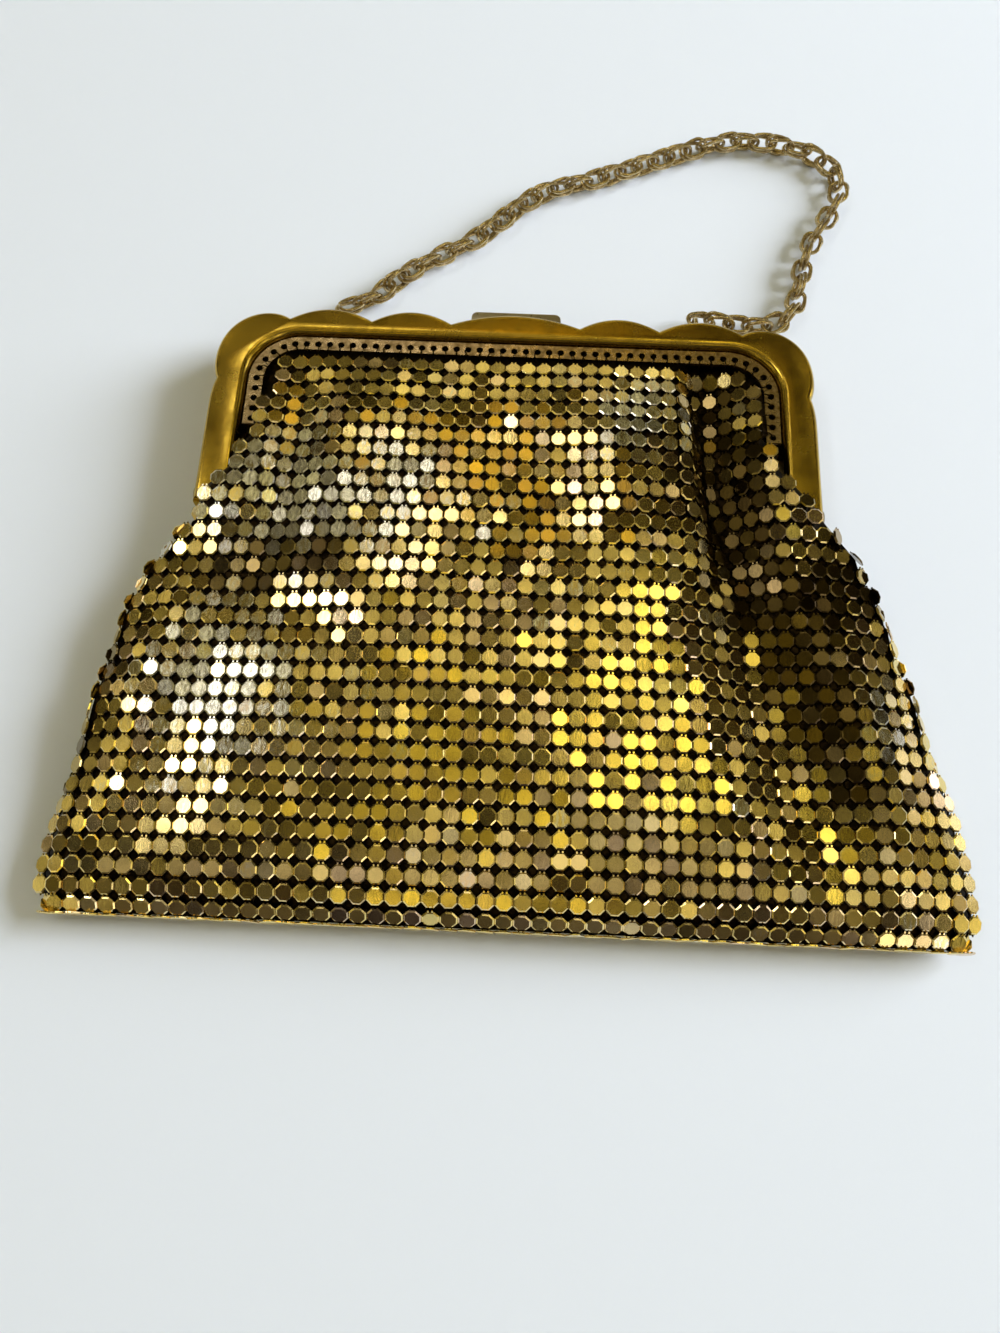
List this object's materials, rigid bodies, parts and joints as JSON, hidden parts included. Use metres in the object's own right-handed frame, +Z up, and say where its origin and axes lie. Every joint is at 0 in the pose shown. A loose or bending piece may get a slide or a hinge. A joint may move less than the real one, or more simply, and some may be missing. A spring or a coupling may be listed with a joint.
{
  "type": "metal mesh purse",
  "caption": "Frame purse of linked metal plates with a scalloped frame and a chain handle, lying closed on its back.",
  "frame": {"origin": "middle of the whole thing's footprint, on the surface that it lies on", "axes": "+Y from the bag's bottom edge towards the frame and its chain, +X to the right seen from the front, +Z up out of the front"},
  "size_m": [0.1804, 0.1992, 0.0161],
  "materials": {
    "frame_gold": "polished",
    "plate_gold": "polished",
    "link_bronze": "satin",
    "chain_gold": "polished",
    "catch_metal": "satin"
  },
  "bodies": {
    "root": {"frame_front": "frame_gold", "frame_back": "frame_gold", "front_mesh_strip": "frame_gold", "back_mesh_strip": "frame_gold", "mesh_bag": "plate_gold", "lift_catch": "catch_metal", "left_hinge_pin": "catch_metal", "right_hinge_pin": "catch_metal", "left_jump_ring": "chain_gold", "right_jump_ring": "chain_gold", "chain": "chain_gold"}
  },
  "joints": []
}
